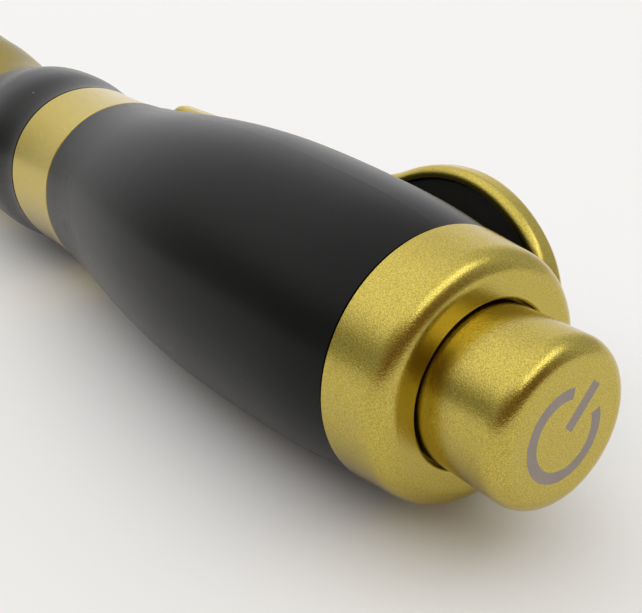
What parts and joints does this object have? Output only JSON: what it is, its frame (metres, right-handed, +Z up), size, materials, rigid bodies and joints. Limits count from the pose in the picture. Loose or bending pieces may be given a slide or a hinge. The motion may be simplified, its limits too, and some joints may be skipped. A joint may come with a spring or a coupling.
{
  "type": "hyaluron pen",
  "caption": "Spring-driven needle-free pen with a tail button, a bulged black grip, a side cocking lever, a flared dose ring and an ampoule socket in the nose.",
  "frame": {"origin": "centre of the ampoule socket's mouth, on the pen's axis", "axes": "+X along the pen's axis, out of the nose; +Z up with the pen lying on a table; the cocking lever lies on the -Y side"},
  "size_m": [0.1681, 0.0323, 0.027],
  "materials": {
    "gold": "satin, bead-blasted and gold anodised",
    "black_coat": "matte black soft coating",
    "black_panel": "satin black",
    "grey_sign": "flat grey ink",
    "steel": "turned",
    "spring_steel": "drawn wire",
    "bronze": "turned",
    "bare_aluminium": "turned",
    "nylon": "moulded",
    "seal_rubber": "moulded"
  },
  "bodies": {
    "pen": {"end_collar": "gold", "rear_bulkhead": "bare_aluminium", "button_spring": "spring_steel", "sear_spring": "spring_steel", "barrel_shell": "black_coat", "inner_tube": "steel", "main_spring": "spring_steel", "hammer_buffer": "seal_rubber", "stop_ring": "steel", "joint_ring": "gold", "front_housing": "black_coat", "lever_pin": "steel", "pin_clip": "spring_steel", "front_core": "bare_aluminium", "rod_guide": "nylon", "rod_seal": "seal_rubber", "nose_seal": "seal_rubber", "scale_sleeve": "black_coat", "nose_cap": "black_coat", "socket_insert": "nylon"},
    "button": {"push_button": "gold", "button_symbol": "grey_sign", "trigger_bar": "steel"},
    "sear": {"sear_plate": "steel"},
    "lever": {"lever_frame": "gold", "lever_inner_panel": "black_panel", "lever_outer_panel": "black_panel", "lever_sector": "steel", "sector_rivets": "steel"},
    "hammer": {"hammer": "steel", "cocking_rack": "steel", "rack_screws": "steel"},
    "dose": {"dose_ring": "gold", "dose_bush": "bronze", "detent_ball": "steel", "detent_spring": "spring_steel", "detent_screw": "steel"},
    "plunger": {"plunger_rod": "steel", "feed_nut": "bronze", "cross_pin": "steel"}
  },
  "joints": [
    {"name": "button_press", "type": "slide", "parent": "pen", "child": "button", "axis": [1, 0, 0], "range_m": [0, 0.0035], "stiffness_N_per_m": 500, "springref_m": -0.002, "deforming": ["button_spring"]},
    {"name": "sear_slide", "type": "slide", "parent": "pen", "child": "sear", "axis": [0, 0.1058, -0.9944], "range_m": [0, 0.0014], "deforming": ["sear_spring"]},
    {"name": "lever_swing", "type": "hinge", "parent": "pen", "child": "lever", "pos_m": [-0.07425, -0.01511, -0.00161], "axis": [0, -0.1058, 0.9944], "range_deg": [0, 90], "stiffness_Nm_per_rad": 0.0192, "springref_deg": -35.81},
    {"name": "hammer_slide", "type": "slide", "parent": "pen", "child": "hammer", "axis": [-1, 0, 0], "range_m": [0, 0.0126], "deforming": ["main_spring"]},
    {"name": "dose_turn", "type": "hinge", "parent": "pen", "child": "dose", "pos_m": [0, 0, 0], "axis": [1, 0, 0], "range_deg": [0, 300]},
    {"name": "plunger_feed", "type": "slide", "parent": "pen", "child": "plunger", "axis": [-1, 0, 0], "range_m": [0, 0.00501]}
  ],
  "couplings": [
    {"joint": "sear_slide", "follows": "button_press", "ratio": 0.4},
    {"joint": "hammer_slide", "follows": "lever_swing", "m_per_rad": 0.008},
    {"joint": "plunger_feed", "follows": "dose_turn", "m_per_rad": 0.00095493}
  ]
}
